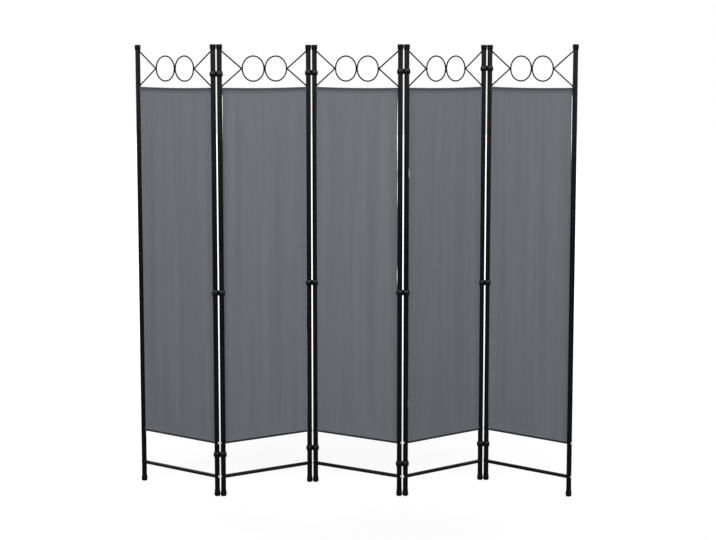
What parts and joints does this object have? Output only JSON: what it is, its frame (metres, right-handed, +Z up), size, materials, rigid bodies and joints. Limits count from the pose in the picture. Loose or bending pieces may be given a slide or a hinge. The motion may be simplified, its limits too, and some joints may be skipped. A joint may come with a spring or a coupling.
{
  "type": "folding screen",
  "caption": "Free-standing folding screen: tube-framed fabric panels in a zigzag, wire ring ornaments along the top, and ring clips round the posts as hinges.",
  "frame": {"origin": "on the floor, under the middle of the screen's box as it stands half folded", "axes": "+Z up, +X along the screen to the right seen from the front, -Y the front"},
  "size_m": [1.6644, 0.281, 1.7],
  "materials": {
    "post_tube": "black powder coat, soft gloss",
    "ornament_wire": "black powder coat, soft gloss",
    "rail_tube": "black powder coat, soft gloss",
    "rod_steel": "plain drawn steel",
    "end_plastic": "moulded, satin",
    "clip_plastic": "moulded, satin",
    "screen_fabric": "plain woven polyester, mid grey",
    "screw_steel": "bright zinc plated"
  },
  "bodies": {
    "panel_1": {"panel_1_left_post": "post_tube", "panel_1_right_post": "post_tube", "panel_1_top_caps": "end_plastic", "panel_1_feet": "end_plastic", "panel_1_top_ornament": "ornament_wire", "panel_1_bottom_rail": "rail_tube", "panel_1_hem_rods": "rod_steel", "panel_1_fabric": "screen_fabric", "panel_1_screws": "screw_steel"},
    "panel_2": {"panel_2_left_post": "post_tube", "panel_2_right_post": "post_tube", "panel_2_top_caps": "end_plastic", "panel_2_feet": "end_plastic", "panel_2_top_ornament": "ornament_wire", "panel_2_bottom_rail": "rail_tube", "panel_2_hem_rods": "rod_steel", "panel_2_fabric": "screen_fabric", "panel_2_screws": "screw_steel"},
    "panel_3": {"panel_3_left_post": "post_tube", "panel_3_right_post": "post_tube", "panel_3_top_caps": "end_plastic", "panel_3_feet": "end_plastic", "panel_3_top_ornament": "ornament_wire", "panel_3_bottom_rail": "rail_tube", "panel_3_hem_rods": "rod_steel", "panel_3_fabric": "screen_fabric", "panel_3_screws": "screw_steel"},
    "panel_4": {"panel_4_left_post": "post_tube", "panel_4_right_post": "post_tube", "panel_4_top_caps": "end_plastic", "panel_4_feet": "end_plastic", "panel_4_top_ornament": "ornament_wire", "panel_4_bottom_rail": "rail_tube", "panel_4_hem_rods": "rod_steel", "panel_4_fabric": "screen_fabric", "panel_4_screws": "screw_steel"},
    "panel_5": {"panel_5_left_post": "post_tube", "panel_5_right_post": "post_tube", "panel_5_top_caps": "end_plastic", "panel_5_feet": "end_plastic", "panel_5_top_ornament": "ornament_wire", "panel_5_bottom_rail": "rail_tube", "panel_5_hem_rods": "rod_steel", "panel_5_fabric": "screen_fabric", "panel_5_screws": "screw_steel"},
    "fold_1_clips": {"fold_1_top_clip": "clip_plastic", "fold_1_middle_clip": "clip_plastic", "fold_1_bottom_clip": "clip_plastic"},
    "fold_2_clips": {"fold_2_top_clip": "clip_plastic", "fold_2_middle_clip": "clip_plastic", "fold_2_bottom_clip": "clip_plastic"},
    "fold_3_clips": {"fold_3_top_clip": "clip_plastic", "fold_3_middle_clip": "clip_plastic", "fold_3_bottom_clip": "clip_plastic"},
    "fold_4_clips": {"fold_4_top_clip": "clip_plastic", "fold_4_middle_clip": "clip_plastic", "fold_4_bottom_clip": "clip_plastic"}
  },
  "joints": [
    {"name": "fold_2_clips_turn", "type": "hinge", "parent": "panel_3", "child": "fold_2_clips", "pos_m": [-0.14634, 0.08754, 0.85], "axis": [0, 0, 1], "range_deg": [-122, 56]},
    {"name": "panel_2_turn", "type": "hinge", "parent": "fold_2_clips", "child": "panel_2", "pos_m": [-0.16984, 0.08713, 0.85], "axis": [0, 0, 1], "range_deg": [-122, 56]},
    {"name": "fold_1_clips_turn", "type": "hinge", "parent": "panel_2", "child": "fold_1_clips", "pos_m": [-0.48736, -0.12704, 0.85], "axis": [0, 0, -1], "range_deg": [-124, 54]},
    {"name": "panel_1_turn", "type": "hinge", "parent": "fold_1_clips", "child": "panel_1", "pos_m": [-0.51086, -0.12663, 0.85], "axis": [0, 0, -1], "range_deg": [-124, 54]},
    {"name": "fold_3_clips_turn", "type": "hinge", "parent": "panel_3", "child": "fold_3_clips", "pos_m": [0.17846, -0.11542, 0.85], "axis": [0, 0, 1], "range_deg": [-124.5, 53.5]},
    {"name": "panel_4_turn", "type": "hinge", "parent": "fold_3_clips", "child": "panel_4", "pos_m": [0.20192, -0.11399, 0.85], "axis": [0, 0, 1], "range_deg": [-124.5, 53.5]},
    {"name": "fold_4_clips_turn", "type": "hinge", "parent": "panel_4", "child": "fold_4_clips", "pos_m": [0.49956, 0.12704, 0.85], "axis": [0, 0, -1], "range_deg": [-128, 50]},
    {"name": "panel_5_turn", "type": "hinge", "parent": "fold_4_clips", "child": "panel_5", "pos_m": [0.52306, 0.12704, 0.85], "axis": [0, 0, -1], "range_deg": [-128, 50]}
  ]
}
